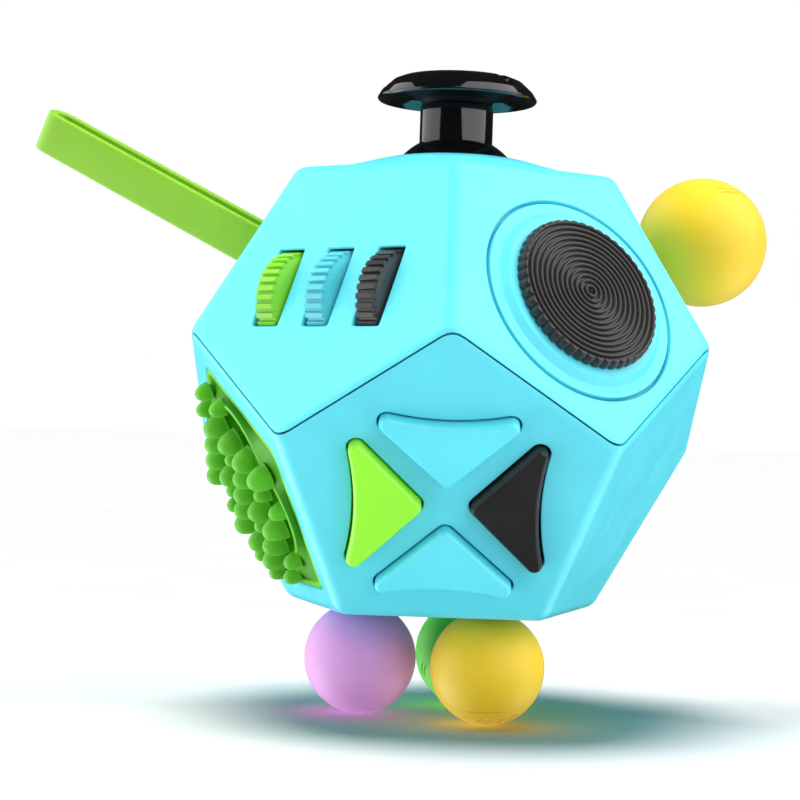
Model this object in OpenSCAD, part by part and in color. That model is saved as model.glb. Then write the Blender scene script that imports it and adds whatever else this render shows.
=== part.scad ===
// Twelve-sided fidget toy: a dodecahedron case with a hand control on nearly every face.
// Millimetres, +Z up, front towards -Y. The origin is on the case's vertical axis, at
// the level of the surface that the three foot balls stand on.
// Faces are named by the azimuth of their outward normal, counted from +X. A face's own
// frame has x to the right and y up as seen from outside, and z out of the case.

/* [Case] */
// Edge length of the dodecahedron
edge = 23.5; // [23.5:0.5:26]
// Wall thickness of both case halves
wall = 1.8; // [1.6:0.1:2]
// Depth by which each edge is chamfered, measured towards the centre
edge_cut = 0.35; // [0.2:0.05:0.5]

/* [Foot balls] */
// Radius of a foot ball
foot_r = 6.75; // [6:0.25:7]
// Distance of a foot ball's centre below the bottom face
foot_drop = 6.35; // [6.2:0.05:7]
// Distance of a foot ball's centre from the case's axis
foot_ring_r = 9.6; // [9:0.2:10]

/* [Joystick] */
// Radius of the thumb cap
cap_r = 9.75; // [8:0.25:10]
// Height of the cap's widest ring above the top face
cap_rise = 9.6; // [9:0.2:12]
// Radius of the stem between dome and cap
stem_r = 4.45; // [3.5:0.05:4.5]
// Outer radius of the round dome that closes the opening
dome_r = 8.7; // [8.4:0.1:8.8]
// Depth of the tilting centre below the top face
pivot_drop = 3.7; // [3.4:0.1:4]

/* [Gear wheels] */
// Radius over the ribs
gear_r = 5.6; // [5:0.1:5.8]
// Width of one wheel
gear_w = 3.1; // [2.6:0.1:3.2]
// Distance between the middles of two wheels
gear_pitch = 7.25; // [7:0.05:7.6]
// Number of ribs around one wheel
gear_ribs = 34; // [24:2:40]

/* [Dial] */
// Radius of the turning disc
dial_r = 9.4; // [8:0.2:9.8]
// Radius of the bezel that is let into the face
bezel_r = 12.7; // [12:0.1:13]
// Number of finger scallops around the disc
dial_scallops = 48; // [24:4:60]

/* [Direction pad] */
// Distance from the pad's middle to the rounded tip of a button
key_tip = 2.75; // [2:0.05:3]
// Distance from the pad's middle to the far corners of a button
key_reach = 11; // [10:0.1:11]
// Half of a button's width across its far corners
key_half = 7.7; // [7:0.1:8]
// Height of a button above the face
key_rise = 1.5; // [1:0.1:2]
// Travel of a button
key_travel = 1.2; // [0.8:0.1:1.4]

/* [Spike pad] */
// Size of the five-sided window as a share of the face
window_share = 0.79; // [0.75:0.01:0.8]
// Distance between neighbouring spikes in a column
spike_pitch = 4.3; // [4:0.1:5]

/* [Side ball] */
// Radius of the side ball
side_r = 8.1; // [7:0.1:8.5]
// Distance of its centre from the face
side_rise = 12.6; // [11.5:0.1:13]

/* [Strap] */
// Distance from the face to the closed end of the strap loop
strap_reach = 38.8; // [30:0.2:45]
// Width of the strap band
strap_w = 4.7; // [4:0.1:5]
// Thickness of the strap band
strap_t = 1.2; // [1:0.1:1.4]

/* [Hidden] */
$fn = 48;

// Proportions of a regular dodecahedron
golden = (1 + sqrt(5)) / 2;
lean = atan(1 / 2);                                  // elevation of the upper faces' normals
side_lean = atan(1 / golden);                        // elevation of the edges between them
face_dist = edge * pow(golden, 2) / (2 * sqrt(3 - golden));
edge_dist = edge * pow(golden, 2) / 2;
corner_r = edge / (2 * sin(36));                     // middle of a face to its corner
ring_r = corner_r * golden;                          // corners of the middle ring
ring_z = corner_r * cos(72);
case_z = foot_r + foot_drop + face_dist;             // height of the case's centre
big = 4 * edge;

// Which control is on which face
gear_az = -126;
dial_az = -54;
side_az = 18;
rocker_az = 90;
strap_az = 162;
spike_az = -162;
key_az = -90;
dimple_az = 54;
slider_az = 126;
foot_az = [-174, -54, 66];                           // pink, yellow, green

// Clearances
run = 0.05;                                          // shaft in its bore, on the radius
gap = 0.3;                                           // between parts that move apart

// Screw posts that join the two halves
post_az = [6, 126, -110];
post_ring_r = 12.2;
post_r = 2.6;
post_neck_r = 2;
post_split = -12;                                    // from the case's centre
post_hole_r = 0.9;
post_pilot = 8;
screw_head_r = 2.1;
screw_sink = 1.6;

// Joystick
pivot_z = case_z + face_dist - pivot_drop;
dome_t = 1.1;
collar_h = 2;
collar_base_r = 11.5;
collar_top_r = 8;
plate_top = pivot_z - 9.5;
plate_t = 2;
plate_r = 8.4;
plate_arm = 3.2;                                     // radius of the arms' round ends
ear_t = 1;
ear_r = 2;
ring_gimbal_r = 5.8;
ring_gimbal_t = 1.3;
ring_gimbal_h = 2.2;
shaft_r = 2.4;
stem_foot = 5;                                       // stem's foot below the tilting centre
pin_r = 0.7;
ear_x = 6.5;                                         // middle of the base's ears

// Gear wheels
gear_x = -0.3;
gear_y = -0.65;
gear_depth = 3.7;                                    // axle below the face
gear_slot_y = 10.2;                                  // length of a slot
gear_axle_r = 1;
gear_room = 0.27;                                    // wheel to slot
gear_side_room = 0.3;
cheek_t = 1.2;
cheek_back = 5.5;
cheek_step = 7.1;                                    // between two cheeks
bracket_x = 11.2;
bracket_y = [-7.5, 7.3];
bracket_rail = 1.2;
lug = 5;
leaf_t = 0.3;
boss_x = 13.2;
boss_r = 1.7;
boss_end = 4.3;
small_screw_r = 0.7;
small_head_r = 1.4;
small_head_h = 0.8;
gear_screw_len = 3;

// Dial
dial_x = 0.5;
dial_y = -1.2;
dial_top = 2.1;
dial_base = 0.75;                                    // underside of the disc
dial_boss = 0.5;                                     // bezel's raised middle above the face
dial_shaft_top = 1.4;
dial_shaft_r = 1.5;
bezel_flange = 1;
bezel_body_r = 11.15;
bezel_back = 3.4;
groove_pitch = 0.8;
groove_first = 1.6;
groove_last = 8.6;
groove_depth = 0.3;

// Direction pad
key_y = -1.45;
key_corner_r = 0.9;
key_hollow_r = 31;                                   // radius of the hollow outer side
key_flange = 0.55;
key_back = 3;
key_stem_y = 7.6;
key_stem_r = 2.1;
mat_top = 6;
mat_t = 0.8;
mat_r = 11;
dome_top = mat_top - key_travel - 0.2;
dome_foot_r = 3;
back_plate_t = 1.2;
key_boss = [[0, 14.2], [12.9, 0], [0, 0]];
key_boss_r = 1.3;
key_screw_len = 4;

// Spike pad
window_shift = -0.5;
frame_t = 0.8;
frame_back = 3;
frame_flange = 0.7;
spike_sheet = 0.8;
spike_big = [1.55, 3.3];                             // radius, height above the face
spike_small = [1.1, 2.5];
retainer_t = 1;
retainer_inset = 1;

// Balls
foot_pin_r = 1.3;
foot_dish = 0.35;
clip_t = 0.8;
side_y = 3.1;
side_pin_r = 1.6;
side_neck_r = 3;
bush_r = 4.6;
bush_h = 1.4;

// Strap
strap_y = 4.5;
strap_pin_r = 1.05;
strap_depth = 2;
strap_in = 1.1;                                      // half of the gap between the strands
strap_slot_x = 8;

// Rocker switch on the back
rocker_x = 8.4;
rocker_len = 14.4;
rocker_frame_w = [11.6, 17.6];
rocker_depth = 6;
rocker_pivot = 1.2;
rocker_pin_x = rocker_x / 2 + 0.7;

// Slider
slider_w = [19, 8.6];
slider_slot = [14.2, 3];
slider_knob_w = 5.6;

// ---------- frames and common shapes ----------

module at_case() translate([0, 0, case_z]) children();

module turn_to(az, el) rotate([0, 0, az + 90]) rotate([90 - el, 0, 0]) children();

module on_upper(az) at_case() turn_to(az, lean) translate([0, 0, face_dist]) children();

module on_lower(az) at_case() turn_to(az, -lean) translate([0, 0, face_dist]) children();

module around(az, r) rotate([0, 0, az]) translate([r, 0, 0]) children();

// A round bar along z from z0 to z1
module bar(r, z0, z1) translate([0, 0, z0]) cylinder(r = r, h = z1 - z0);

// A plate with its own outline between two heights
module plate(z0, z1) translate([0, 0, z0]) linear_extrude(z1 - z0) children();

module ring(r_in, r_out, z0, z1) {
    difference() {
        bar(r_out, z0, z1);
        bar(r_in, z0 - 1, z1 + 1);
    }
}

module pan_screw(r, head_r, head_h, len) {
    bar(r, -len, 0);
    bar(head_r, 0, head_h);
}

function on_circle(r, a) = [r * cos(a), r * sin(a)];

// Corners of a face-like pentagon; tip is the azimuth of its first corner
function pentagon(r, tip) = [for (k = [0:4]) on_circle(r, tip + 72 * k)];

// ---------- case ----------

module slab(az, el, half) turn_to(az, el) cube([big, big, 2 * half], center = true);

module dodecahedron(dist) {
    intersection() {
        slab(0, 90, dist);
        intersection_for(k = [0:4]) slab(side_az + 72 * k, lean, dist);
    }
}

// Three families of slabs that cut the thirty edges
module edge_chamfers(dist) {
    intersection() {
        intersection_for(k = [0:4]) slab(side_az + 72 * k, (90 + lean) / 2, dist);
        intersection_for(k = [0:4]) slab(side_az + 36 + 72 * k, side_lean, dist);
        intersection_for(k = [0:4]) slab(side_az + 18 + 72 * k, 0, dist);
    }
}

module case_wall() {
    difference() {
        intersection() {
            dodecahedron(face_dist);
            edge_chamfers(edge_dist - edge_cut);
        }
        dodecahedron(face_dist - wall);
    }
}

function ring_corner(k, z) = [2 * ring_r * cos(36 * k - 90), 2 * ring_r * sin(36 * k - 90), z];

// The zigzag seam runs along the middle ring of edges. This is the space under it: a star
// of triangles from the case's centre through the ring, and straight sides down from them.
module under_seam() {
    middle = [[0, 0, 0]];
    rim = [for (k = [0:9]) ring_corner(k, 2 * ring_z * (k % 2 == 0 ? 1 : -1))];
    foot = [for (k = [0:9]) ring_corner(k, -big)];
    fans = [for (k = [0:9]) [0, 1 + (k + 1) % 10, 1 + k]];
    sides = [for (k = [0:9]) [1 + k, 1 + (k + 1) % 10, 11 + (k + 1) % 10, 11 + k]];
    floor = [[for (k = [0:9]) 11 + k]];
    polyhedron(concat(middle, rim, foot), concat(fans, sides, floor));
}

module upper_posts() {
    for (az = post_az) around(az, post_ring_r) {
        bar(post_r, plate_top - case_z, face_dist - wall / 2);
        bar(post_neck_r, post_split, plate_top - case_z);
    }
}

module upper_shell() color("#5FE5F2") difference() {
    union() {
        at_case() difference() {
            case_wall();
            under_seam();
        }
        at_case() upper_posts();
        translate([0, 0, case_z + face_dist]) collar();
        on_upper(gear_az) gear_bosses();
        on_upper(side_az) translate([0, side_y, 0]) bar(bush_r, -2.4, -wall / 2);
        on_upper(strap_az) strap_box();
    }
    at_case() for (az = post_az) around(az, post_ring_r)
        bar(post_hole_r, post_split - 1, post_split + post_pilot);
    translate([0, 0, pivot_z]) sphere(dome_r + gap);
    on_upper(gear_az) gear_slots();
    on_upper(gear_az) gear_boss_holes();
    on_upper(dial_az) dial_seat();
    on_upper(side_az) translate([0, side_y, 0]) bar(2.6, -4, 1);
    on_upper(strap_az) strap_pocket();
    on_upper(rocker_az) rocker_window();
}

module lower_shell() color("#5FE5F2") difference() {
    union() {
        at_case() intersection() {
            case_wall();
            under_seam();
        }
        at_case() for (az = post_az) around(az, post_ring_r)
            bar(post_r, -face_dist + wall / 2, post_split);
        on_lower(key_az) key_bosses();
        on_lower(dimple_az) bar(10.6, -3.4, -wall / 2);
        at_case() for (az = foot_az) around(az, foot_ring_r)
            bar(3.2, -face_dist + wall / 2, -face_dist + 2.8);
    }
    at_case() for (az = post_az) around(az, post_ring_r) {
        bar(post_hole_r + 0.2, -face_dist - 1, post_split + 1);
        bar(screw_head_r + 0.2, -face_dist - 1, -face_dist + screw_sink);
    }
    at_case() for (az = foot_az) around(az, foot_ring_r) {
        bar(foot_pin_r + run, -face_dist - 1, -face_dist + 4);
        translate([0, 0, -face_dist - foot_drop]) sphere(foot_r + foot_dish);
    }
    on_lower(key_az) key_windows();
    on_lower(key_az) key_boss_holes();
    on_lower(spike_az) spike_window();
    on_lower(dimple_az) dimple();
    on_lower(slider_az) slider_window();
}

// Smooth hollow for a thumb
module dimple() {
    dimple_r = 30;
    dimple_depth = 1.5;
    translate([0, 0, dimple_r - dimple_depth]) sphere(dimple_r, $fn = 96);
}

module shell_screws() color("silver") at_case() for (az = post_az) around(az, post_ring_r)
    translate([0, 0, -face_dist + screw_sink]) rotate([180, 0, 0])
        pan_screw(post_hole_r, screw_head_r, 1.2, face_dist + post_split + post_pilot - 2.6);

// ---------- joystick ----------

module collar() {
    bar(collar_base_r, -wall / 2, 0);
    cylinder(r1 = collar_base_r, r2 = collar_top_r, h = collar_h);
}

module joystick_cap() color("#202020") {
    rim = case_z + face_dist + cap_rise;
    translate([0, 0, rim]) rotate_extrude() polygon([
        [0, -0.4], [stem_r, -0.4], [stem_r, 0.4], [6.4, 1], [8.2, 0.3], [cap_r - 0.25, -0.55],
        [cap_r, -0.1], [cap_r - 0.6, 0.7], [7.6, 2], [6.4, 2.4], [4.6, 2.2], [0, 1.9],
    ]);
}

module joystick_stem() color("#202020") {
    cap_foot = case_z + face_dist + cap_rise - 0.4;
    difference() {
        union() {
            bar(stem_r, pivot_z + dome_r - 2.7, cap_foot);
            bar(shaft_r, pivot_z - stem_foot, pivot_z + dome_r - 2.7);
        }
        translate([0, 0, pivot_z]) rotate([90, 0, 0]) cylinder(r = pin_r + run, h = 20, center = true);
    }
}

// The cover dome turns about the same centre as the stem, so the opening stays closed
module joystick_dome() color("#202020") translate([0, 0, pivot_z]) difference() {
    sphere(dome_r);
    sphere(dome_r - dome_t);
    rotate([180, 0, 0]) cylinder(r = 2 * dome_r, h = 2 * dome_r);
    bar(2 * dome_r, -1, dome_r * cos(73));
    bar(stem_r, 0, 2 * dome_r);
}

// The ring swings about x in the base, and carries the stem's pin along y
module joystick_gimbal_ring() color("silver") translate([0, 0, pivot_z]) difference() {
    ring(ring_gimbal_r - ring_gimbal_t, ring_gimbal_r, -ring_gimbal_h / 2, ring_gimbal_h / 2);
    rotate([90, 0, 0]) cylinder(r = pin_r, h = 20, center = true);
    rotate([0, 90, 0]) cylinder(r = pin_r + run, h = 20, center = true);
}

// One pin across the ring, through the stem
module joystick_gimbal_pins() color("silver") translate([0, 0, pivot_z])
    rotate([90, 0, 0]) cylinder(r = pin_r, h = 2 * ring_gimbal_r, center = true);

// Two stub pins from the ears of the base into the ring
module joystick_base_pins() color("silver") translate([0, 0, pivot_z]) for (side = [-1, 1])
    rotate([0, 90 * side, 0]) bar(pin_r, ring_gimbal_r - ring_gimbal_t, ear_x + ear_t / 2);

module joystick_base() color("#3A3A3A") difference() {
    union() {
        plate(plate_top - plate_t, plate_top) {
            circle(plate_r);
            for (az = post_az) rotate(az) {
                translate([post_ring_r, 0]) circle(plate_arm);
                translate([plate_r / 2, -plate_arm]) square([post_ring_r - plate_r / 2, 2 * plate_arm]);
            }
        }
        for (side = [-1, 1]) translate([side * ear_x, 0, 0]) {
            translate([-ear_t / 2, -ear_r, plate_top]) cube([ear_t, 2 * ear_r, pivot_z - plate_top]);
            translate([-ear_t / 2, 0, pivot_z]) rotate([0, 90, 0]) cylinder(r = ear_r, h = ear_t);
        }
    }
    translate([0, 0, pivot_z]) rotate([0, 90, 0]) cylinder(r = pin_r, h = 20, center = true);
    for (az = post_az) around(az, post_ring_r) bar(post_neck_r, 0, case_z + face_dist);
}

// Centring spring between the base plate and the foot of the stem
module joystick_spring() color("silver") {
    wire = 0.35;
    turns = 4;
    rise = (pivot_z - stem_foot - plate_top - 2 * wire) / (turns - 1);
    for (k = [0:turns - 1]) translate([0, 0, plate_top + wire + k * rise])
        rotate_extrude() translate([2.2 - 0.1 * k, 0]) circle(wire, $fn = 16);
}

// ---------- gear wheels ----------

function gear_place(k) = gear_x + (k - 1) * gear_pitch;

module along_x(r, x0, x1) translate([x0, 0, 0]) rotate([0, 90, 0]) cylinder(r = r, h = x1 - x0);

module at_gear_axle() translate([0, gear_y, -gear_depth]) children();

module gear_slots() for (k = [0:2]) {
    half = gear_w / 2 + gear_side_room;
    at_gear_axle() along_x(gear_r + gear_room, gear_place(k) - half, gear_place(k) + half);
    translate([gear_place(k) - half, gear_y - gear_slot_y / 2, -wall - 1]) cube([2 * half, gear_slot_y, wall + 2]);
}

module gear_wheel(k) {
    rib_r = 0.2;
    half = gear_w / 2;
    on_upper(gear_az) at_gear_axle() translate([gear_place(k), 0, 0]) rotate([0, 90, 0]) difference() {
        rotate_extrude() polygon([
            [gear_axle_r + run, -half], [gear_r - 0.6, -half], [gear_r, -half + 0.5],
            [gear_r, half - 0.5], [gear_r - 0.6, half], [gear_axle_r + run, half],
        ]);
        for (i = [0:gear_ribs - 1]) rotate(i * 360 / gear_ribs) translate([gear_r, 0, -half])
            cylinder(r = rib_r, h = gear_w, $fn = 8);
    }
}

module gear_wheel_green() color("#98F238") gear_wheel(0);

module gear_wheel_cyan() color("#5FE5F2") gear_wheel(1);

module gear_wheel_black() color("#2B2B2B") gear_wheel(2);

module gear_axle() color("silver") on_upper(gear_az) at_gear_axle()
    along_x(gear_axle_r, gear_x - bracket_x, gear_x + bracket_x);

module gear_bosses() for (side = [-1, 1])
    translate([gear_x + side * boss_x, gear_y, 0]) bar(boss_r, -boss_end, -wall / 2);

module gear_boss_holes() for (side = [-1, 1])
    translate([gear_x + side * boss_x, gear_y, 0]) bar(small_screw_r, -boss_end - 1, -wall);

module gear_bracket() color("#3A3A3A") on_upper(gear_az) translate([gear_x, gear_y, 0]) difference() {
    union() {
        for (x = [-1.5, -0.5, 0.5, 1.5] * cheek_step) translate([x - cheek_t / 2, bracket_y[0], -cheek_back])
            cube([cheek_t, bracket_y[1] - bracket_y[0], cheek_back - wall]);
        for (y = [bracket_y[0], bracket_y[1] - bracket_rail]) translate([-bracket_x, y, -cheek_back])
            cube([2 * bracket_x, bracket_rail, cheek_back - wall]);
        for (side = [-1, 1]) translate([side * (boss_x - 0.2), 0, -cheek_back / 2 - boss_end / 2])
            cube([lug, lug, cheek_back - boss_end], center = true);
    }
    translate([0, 0, -gear_depth]) along_x(gear_axle_r, -big, big);
    for (side = [-1, 1]) translate([side * boss_x, 0, 0]) bar(small_screw_r, -big, 0);
}

// A comb of three leaf fingers that click over the ribs
module gear_click_spring() color("silver") on_upper(gear_az) translate([gear_x, gear_y, 0]) {
    finger_w = 1.6;
    finger_len = 2.6;
    finger_y = -gear_r - 0.15 - leaf_t;
    base_x = bracket_x - bracket_rail;
    translate([-base_x, bracket_y[0], -cheek_back - leaf_t])
        cube([2 * base_x, finger_y + leaf_t - bracket_y[0] + 0.35, leaf_t]);
    for (k = [0:2]) translate([(k - 1) * gear_pitch - finger_w / 2, finger_y, -cheek_back])
        cube([finger_w, leaf_t, finger_len]);
}

module gear_bracket_screws() color("silver") on_upper(gear_az) for (side = [-1, 1])
    translate([gear_x + side * boss_x, gear_y, -cheek_back]) rotate([180, 0, 0])
        pan_screw(small_screw_r, small_head_r, small_head_h, gear_screw_len);

// ---------- dial ----------

module at_dial() on_upper(dial_az) translate([dial_x, dial_y, 0]) children();

module dial_seat() translate([dial_x, dial_y, 0]) {
    bar(bezel_r, -bezel_flange, 1);
    bar(bezel_body_r, -wall - 1, 1);
}

module dial_bezel() color("#5FE5F2") at_dial() rotate_extrude() polygon([
    [dial_shaft_r + run, -bezel_back], [bezel_body_r, -bezel_back], [bezel_body_r, -bezel_flange],
    [bezel_r, -bezel_flange], [bezel_r, 0], [dial_r + 1.9, 0], [dial_r + 0.5, dial_boss],
    [dial_shaft_r + run, dial_boss],
]);

module dial_disc() color("#2B2B2B") at_dial() difference() {
    scallop_r = 0.4;
    bar(dial_r, dial_base, dial_top);
    bar(dial_shaft_r, 0, dial_shaft_top);
    for (r = [groove_first:groove_pitch:groove_last])
        ring(r, r + groove_pitch / 2, dial_top - groove_depth, dial_top + 1);
    for (i = [0:dial_scallops - 1]) rotate(i * 360 / dial_scallops) translate([dial_r + scallop_r / 2, 0, 0])
        cylinder(r = scallop_r, h = dial_top + 1, $fn = 8);
}

module dial_shaft() color("silver") at_dial() bar(dial_shaft_r, -5, dial_shaft_top);

module dial_clip() color("silver") at_dial() ring(dial_shaft_r, 3.2, -bezel_back - gap - 0.6, -bezel_back - gap);

// ---------- direction pad ----------

// Outline of one button that points at the middle: three round corners and a hollow far side.
// grow moves the whole outline outwards.
function arc(centre, r, from, to, steps) = [
    for (i = [0:steps]) centre + on_circle(r, from + (to - from) * i / steps)
];

function key_outline(grow) =
    let (
        r = key_corner_r + grow,
        tip = [0, key_tip + key_corner_r],
        far = [key_half - key_corner_r, key_reach - key_corner_r],
        slope = atan2(far.y - tip.y, far.x),
        reach = key_hollow_r + key_corner_r,
        hub_y = far.y + sqrt(pow(reach, 2) - pow(far.x, 2)),
        bend = atan2(hub_y - far.y, -far.x)
    )
    concat(
        arc(tip, r, -90 - slope, slope - 90, 6),
        arc(far, r, slope - 90, bend, 8),
        arc([0, hub_y], reach - r, bend - 180, -bend, 8),
        arc([-far.x, far.y], r, 180 - bend, 270 - slope, 8)
    );

module at_key_pad() on_lower(key_az) translate([0, key_y, 0]) children();

module key_windows() translate([0, key_y, 0]) for (turn = [0:90:270]) rotate(turn)
    plate(-wall - 1, 1) polygon(key_outline(0.25));

module key_bosses() translate([0, key_y, 0]) for (p = key_boss)
    translate(p) bar(key_boss_r, -mat_top - mat_t, -wall / 2);

module key_boss_holes() translate([0, key_y, 0]) for (p = key_boss)
    translate(p) bar(small_screw_r, -mat_top - mat_t - 1, -wall);

module button(turn) at_key_pad() rotate(turn) {
    plate(-2, key_rise) polygon(key_outline(0));
    plate(-key_back, -2) polygon(key_outline(key_flange));
    translate([0, key_stem_y, 0]) bar(key_stem_r, -dome_top, -key_back);
}

module button_up() color("#5FE5F2") button(0);

module button_left() color("#98F238") button(90);

module button_down() color("#5FE5F2") button(180);

module button_right() color("#2B2B2B") button(270);

// The room that the nearby screw post takes up behind the pad
module post_room() at_case() around(post_az[2], post_ring_r) bar(post_r + gap, -face_dist, post_split);

// Rubber sheet with one collapsing dome under each button
module button_mat() color("#D8D8D8") difference() {
    at_key_pad() {
        bar(mat_r, -mat_top - mat_t, -mat_top);
        for (turn = [0:90:270]) rotate(turn) translate([0, key_stem_y, -mat_top])
            cylinder(r1 = dome_foot_r, r2 = key_stem_r, h = mat_top - dome_top);
    }
    at_key_pad() bar(key_boss_r + run, -mat_top - mat_t - 1, 0);
    post_room();
}

module button_back_plate() color("#3A3A3A") difference() {
    at_key_pad() plate(-mat_top - mat_t - back_plate_t, -mat_top - mat_t) {
        circle(mat_r);
        for (p = key_boss) translate(p) circle(key_stem_r);
        translate([0, -key_stem_r]) square([key_boss[1].x, 2 * key_stem_r]);
        translate([-key_stem_r, 0]) square([2 * key_stem_r, key_boss[0].y]);
    }
    at_key_pad() for (p = key_boss) translate(p) bar(small_screw_r, -big, 0);
    post_room();
}

module button_plate_screws() color("silver") at_key_pad() for (p = key_boss)
    translate([p.x, p.y, -mat_top - mat_t - back_plate_t]) rotate([180, 0, 0])
        pan_screw(small_screw_r, small_head_r, small_head_h, key_screw_len);

// ---------- spike pad ----------

// A pentagon of the window's shape, moved outwards by grow
module window_outline(grow) translate([0, window_shift])
    polygon(pentagon(corner_r * window_share + grow / cos(36), 90));

module spike_window() plate(-wall - 1, 1) window_outline(0);

module spike_frame() color("#8FE83A") on_lower(spike_az) difference() {
    union() {
        plate(-frame_back, 0) window_outline(-0.1);
        plate(-frame_back, -wall) window_outline(frame_flange);
    }
    plate(-frame_back - 1, 1) window_outline(-0.1 - frame_t);
}

// Distance from a point to the nearest side of the window
function window_room(p) = min([for (k = [0:4])
    corner_r * window_share * cos(36) - (p - [0, window_shift]) * on_circle(1, 126 + 72 * k)]);

// Columns of spikes on a triangular grid. Some are small: every other one in the even
// columns, and those with little room beside them.
spike_places = [
    for (col = [-3:3], row = [-3:3])
        let (
            even = col % 2 == 0,
            p = [col * spike_pitch * sin(60) * 0.95, (row + (even ? 0 : 0.5)) * spike_pitch + window_shift],
            room = window_room(p) - frame_t,
            small = room < spike_big[0] || (even && (row + col / 2) % 2 != 0)
        )
        if (room > spike_small[0]) [p, small ? spike_small : spike_big]
];

// A blunt head in two slopes on a thinner neck
module spike(size) {
    r = size[0];
    bar(0.65 * r, -frame_back - 0.2, size[1] - 1.4 * r);
    translate([0, 0, size[1] - 1.4 * r]) cylinder(r1 = r, r2 = 0.8 * r, h = 0.8 * r);
    translate([0, 0, size[1] - 0.6 * r]) cylinder(r1 = 0.8 * r, r2 = 0.3 * r, h = 0.6 * r);
}

module spike_pad() color("#45B52A") on_lower(spike_az) {
    plate(-frame_back - spike_sheet, -frame_back) window_outline(frame_flange);
    for (s = spike_places) translate(s[0]) spike(s[1]);
}

module spike_retainer() color("#3A3A3A") on_lower(spike_az)
    plate(-frame_back - spike_sheet - retainer_t, -frame_back - spike_sheet) window_outline(-retainer_inset);

// ---------- balls ----------

module at_foot(k) at_case() around(foot_az[k], foot_ring_r)
    translate([0, 0, -face_dist - foot_drop]) children();

module foot_ball(k) at_foot(k) difference() {
    sphere(foot_r);
    bar(foot_pin_r, 0, 2 * foot_r);
}

module foot_pin(k) at_foot(k) bar(foot_pin_r, 0, foot_drop + 5);

module foot_clip(k) at_foot(k) translate([0, 0, foot_drop + 2.8 + gap]) ring(foot_pin_r, 3, 0, clip_t);

module foot_ball_pink() color("#D595D9") foot_ball(0);

module foot_ball_yellow() color("#E8CE33") foot_ball(1);

module foot_ball_green() color("#5FD83A") foot_ball(2);

module foot_pin_pink() color("silver") foot_pin(0);

module foot_pin_yellow() color("silver") foot_pin(1);

module foot_pin_green() color("silver") foot_pin(2);

module foot_clip_pink() color("silver") foot_clip(0);

module foot_clip_yellow() color("silver") foot_clip(1);

module foot_clip_green() color("silver") foot_clip(2);

module at_side_ball() on_upper(side_az) translate([0, side_y, 0]) children();

module side_ball() color("#E8CE33") at_side_ball() difference() {
    union() {
        translate([0, 0, side_rise]) sphere(side_r);
        bar(side_neck_r, bush_h + gap, side_rise);
    }
    bar(side_pin_r, 0, side_rise);
}

module side_ball_stem() color("silver") at_side_ball() bar(side_pin_r, -4.6, side_rise);

module side_ball_bush() color("#5FE5F2") at_side_ball() difference() {
    union() {
        bar(bush_r, 0, bush_h);
        bar(2.6, -2.8, 0);
    }
    bar(side_pin_r + run, -4, bush_h + 1);
}

module side_ball_clip() color("silver") at_side_ball() ring(side_pin_r, 3.2, -2.8 - gap - clip_t, -2.8 - gap);

// ---------- strap ----------

module strap_box() translate([0, strap_y, 0])
    translate([-strap_slot_x / 2 - 1.4, -strap_w / 2 - 1.9, -7]) cube([strap_slot_x + 2.8, strap_w + 3.8, 6]);

module strap_pocket() translate([0, strap_y, 0]) {
    translate([-strap_slot_x / 2, -strap_w / 2 - gap, -5.6])
        cube([strap_slot_x, strap_w + 2 * gap, 8]);
    translate([0, 0, -strap_depth]) rotate([90, 0, 0])
        cylinder(r = strap_pin_r, h = strap_w + 3, center = true);
}

module strap_loop() color("#8FD23C") on_upper(strap_az) translate([0, strap_y + strap_w / 2, 0])
    rotate([90, 0, 0]) linear_extrude(strap_w) difference() {
        stadium(strap_in + strap_t, -strap_depth, strap_reach - strap_in - strap_t);
        stadium(strap_in, -strap_depth, strap_reach - strap_in - strap_t);
    }

// A round-ended bar outline along y
module stadium(r, y0, y1) {
    translate([0, y0]) circle(r);
    translate([0, y1]) circle(r);
    translate([-r, y0]) square([2 * r, y1 - y0]);
}

module strap_pin() color("silver") on_upper(strap_az) translate([0, strap_y, -strap_depth])
    rotate([90, 0, 0]) cylinder(r = strap_pin_r, h = strap_w + 3, center = true);

// ---------- rocker switch ----------

module centred_box(size, z0, z1) translate([-size.x / 2, -size.y / 2, z0]) cube([size.x, size.y, z1 - z0]);

module rocker_window() centred_box([rocker_x + 1.8, rocker_len + 1.8], -wall - 1, 1);

module rocker_frame() color("#5FE5F2") on_upper(rocker_az) difference() {
    union() {
        centred_box(rocker_frame_w, 0, 0.8);
        centred_box([rocker_x + 1.8, rocker_len + 1.8], -rocker_depth, 0);
    }
    centred_box([rocker_x + 0.6, rocker_len + 0.6], -rocker_depth + 0.8, 2);
    translate([0, 0, -rocker_pivot]) along_x(1, -rocker_pin_x, rocker_pin_x);
}

// Seesaw key: two flats that meet at a shallow angle over the pin
module rocker_key() color("#2B2B2B") on_upper(rocker_az) difference() {
    translate([-rocker_x / 2, 0, 0]) rotate([90, 0, 90]) linear_extrude(rocker_x) polygon([
        [-rocker_len / 2 + 0.5, 2.4], [0, 1.4], [rocker_len / 2 - 0.5, 2.4],
        [rocker_len / 2 - 0.6, -2], [1.6, -2.8], [-1.6, -2.8], [-rocker_len / 2 + 0.6, -2],
    ]);
    translate([0, 0, -rocker_pivot]) along_x(1 + run, -10, 10);
}

module rocker_pin() color("silver") on_upper(rocker_az) translate([0, 0, -rocker_pivot])
    along_x(1, -rocker_pin_x, rocker_pin_x);

// ---------- slider ----------

module pill(size) {
    r = size.y / 2;
    for (side = [-1, 1]) translate([side * (size.x / 2 - r), 0]) circle(r);
    translate([r - size.x / 2, -r]) square([size.x - 2 * r, size.y]);
}

module slider_window() plate(-wall - 1, 1) pill(slider_w);

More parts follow.
